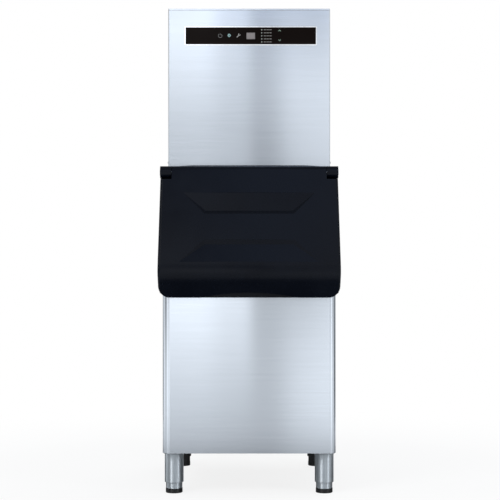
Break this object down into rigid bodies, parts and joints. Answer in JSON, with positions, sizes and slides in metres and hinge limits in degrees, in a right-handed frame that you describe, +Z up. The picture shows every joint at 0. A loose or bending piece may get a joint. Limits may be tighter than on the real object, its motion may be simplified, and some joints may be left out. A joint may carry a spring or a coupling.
{
  "type": "ice machine",
  "caption": "Freestanding ice machine: ice-making head on an insulated storage bin with a lift-up black door, on levelling legs.",
  "frame": {"origin": "on the floor, under the middle of the machine's overall box", "axes": "+Z up, front with the door faces -Y, +X to the right seen from the front"},
  "size_m": [0.607, 0.8299, 1.659],
  "materials": {
    "stainless_panel": "fine horizontal brushed grain",
    "galvanised_sheet": "dull zinc-grey sheet",
    "door_black": "black moulded plastic, satin gloss",
    "liner_white": "smooth white moulded plastic",
    "curtain_clear": "milky plastic sheet",
    "foam": "foamed insulation",
    "gasket_rubber": "soft black rubber",
    "pin_steel": "turned steel",
    "bushing_plastic": "plain bearing plastic",
    "leg_steel": "brushed stainless tube",
    "foot_steel": "brushed tube with a black moulded pad",
    "leg_black": "black painted tube and pad",
    "leg_plate_black": "black painted plate",
    "fascia_black": "glossy black moulding",
    "fascia_trim": "bright thin rim",
    "display_grey": "grey display pane",
    "lamp_lens": "small tinted lenses",
    "electrics_black": "matt black moulding",
    "evaporator_tin": "tinned freezing grid",
    "copper": "copper tube",
    "coil_aluminium": "aluminium fins",
    "compressor_black": "black enamel",
    "motor_grey": "grey painted motor",
    "hose_white": "pale flexible hose",
    "pipe_grey": "grey pipe",
    "valve_plastic": "pale valve body"
  },
  "bodies": {
    "machine": {"cabinet_front_panel": "stainless_panel", "cabinet_left_panel": "stainless_panel", "cabinet_right_panel": "stainless_panel", "head_front_panel": "stainless_panel", "head_left_panel": "stainless_panel", "head_right_panel": "stainless_panel", "head_top_panel": "stainless_panel", "ice_deflector": "stainless_panel", "cabinet_back_panel": "galvanised_sheet", "cabinet_base_plate": "galvanised_sheet", "head_back_panel": "galvanised_sheet", "head_base_pan": "galvanised_sheet", "fan_shroud": "galvanised_sheet", "throat_frame": "door_black", "bin_liner": "liner_white", "ice_chute": "liner_white", "evaporator_frame": "liner_white", "water_trough": "liner_white", "water_distributor": "liner_white", "bin_insulation": "foam", "partition_wall": "foam", "compressor_grommets": "gasket_rubber", "hinge_pins": "pin_steel", "front_left_leg_sleeve": "leg_steel", "front_right_leg_sleeve": "leg_steel", "rear_left_leg_sleeve": "leg_black", "rear_right_leg_sleeve": "leg_black", "leg_plates": "leg_plate_black", "control_fascia": "fascia_black", "fascia_rim": "fascia_trim", "display_window": "display_grey", "indicator_lamps": "lamp_lens", "control_box": "electrics_black", "power_gland": "electrics_black", "water_pump": "electrics_black", "bin_level_probe": "electrics_black", "evaporator_plate": "evaporator_tin", "evaporator_tube": "copper", "coolant_lines": "copper", "filter_drier": "copper", "condenser_coil": "coil_aluminium", "compressor": "compressor_black", "fan_motor": "motor_grey", "pump_hose": "hose_white", "inlet_hose": "hose_white", "bin_drain_pipe": "pipe_grey", "dump_pipe": "pipe_grey", "water_inlet_valve": "valve_plastic"},
    "door": {"door_shell": "door_black", "door_bushings": "bushing_plastic", "door_liner": "liner_white", "door_insulation": "foam", "door_gasket": "gasket_rubber"},
    "curtain": {"water_curtain": "curtain_clear"},
    "fan": {"fan_blades": "electrics_black"},
    "front_left_foot_body": {"front_left_foot": "foot_steel"},
    "front_right_foot_body": {"front_right_foot": "foot_steel"},
    "rear_left_foot_body": {"rear_left_foot": "leg_black"},
    "rear_right_foot_body": {"rear_right_foot": "leg_black"}
  },
  "joints": [
    {"name": "door_hinge", "type": "hinge", "parent": "machine", "child": "door", "pos_m": [0, -0.274, 1.087], "axis": [-1, 0, 0], "range_deg": [0, 168]},
    {"name": "curtain_hinge", "type": "hinge", "parent": "machine", "child": "curtain", "pos_m": [0, -0.026, 1.538], "axis": [-1, 0, 0], "range_deg": [0, 18]},
    {"name": "fan_spin", "type": "hinge", "parent": "machine", "child": "fan", "pos_m": [0.125, 0.3138, 1.285], "axis": [0, 1, 0], "continuous": true},
    {"name": "front_left_foot_level", "type": "slide", "parent": "machine", "child": "front_left_foot_body", "axis": [0, 0, -1], "range_m": [-0.018, 0.02]},
    {"name": "front_right_foot_level", "type": "slide", "parent": "machine", "child": "front_right_foot_body", "axis": [0, 0, -1], "range_m": [-0.018, 0.02]},
    {"name": "rear_left_foot_level", "type": "slide", "parent": "machine", "child": "rear_left_foot_body", "axis": [0, 0, -1], "range_m": [-0.018, 0.02]},
    {"name": "rear_right_foot_level", "type": "slide", "parent": "machine", "child": "rear_right_foot_body", "axis": [0, 0, -1], "range_m": [-0.018, 0.02]}
  ]
}
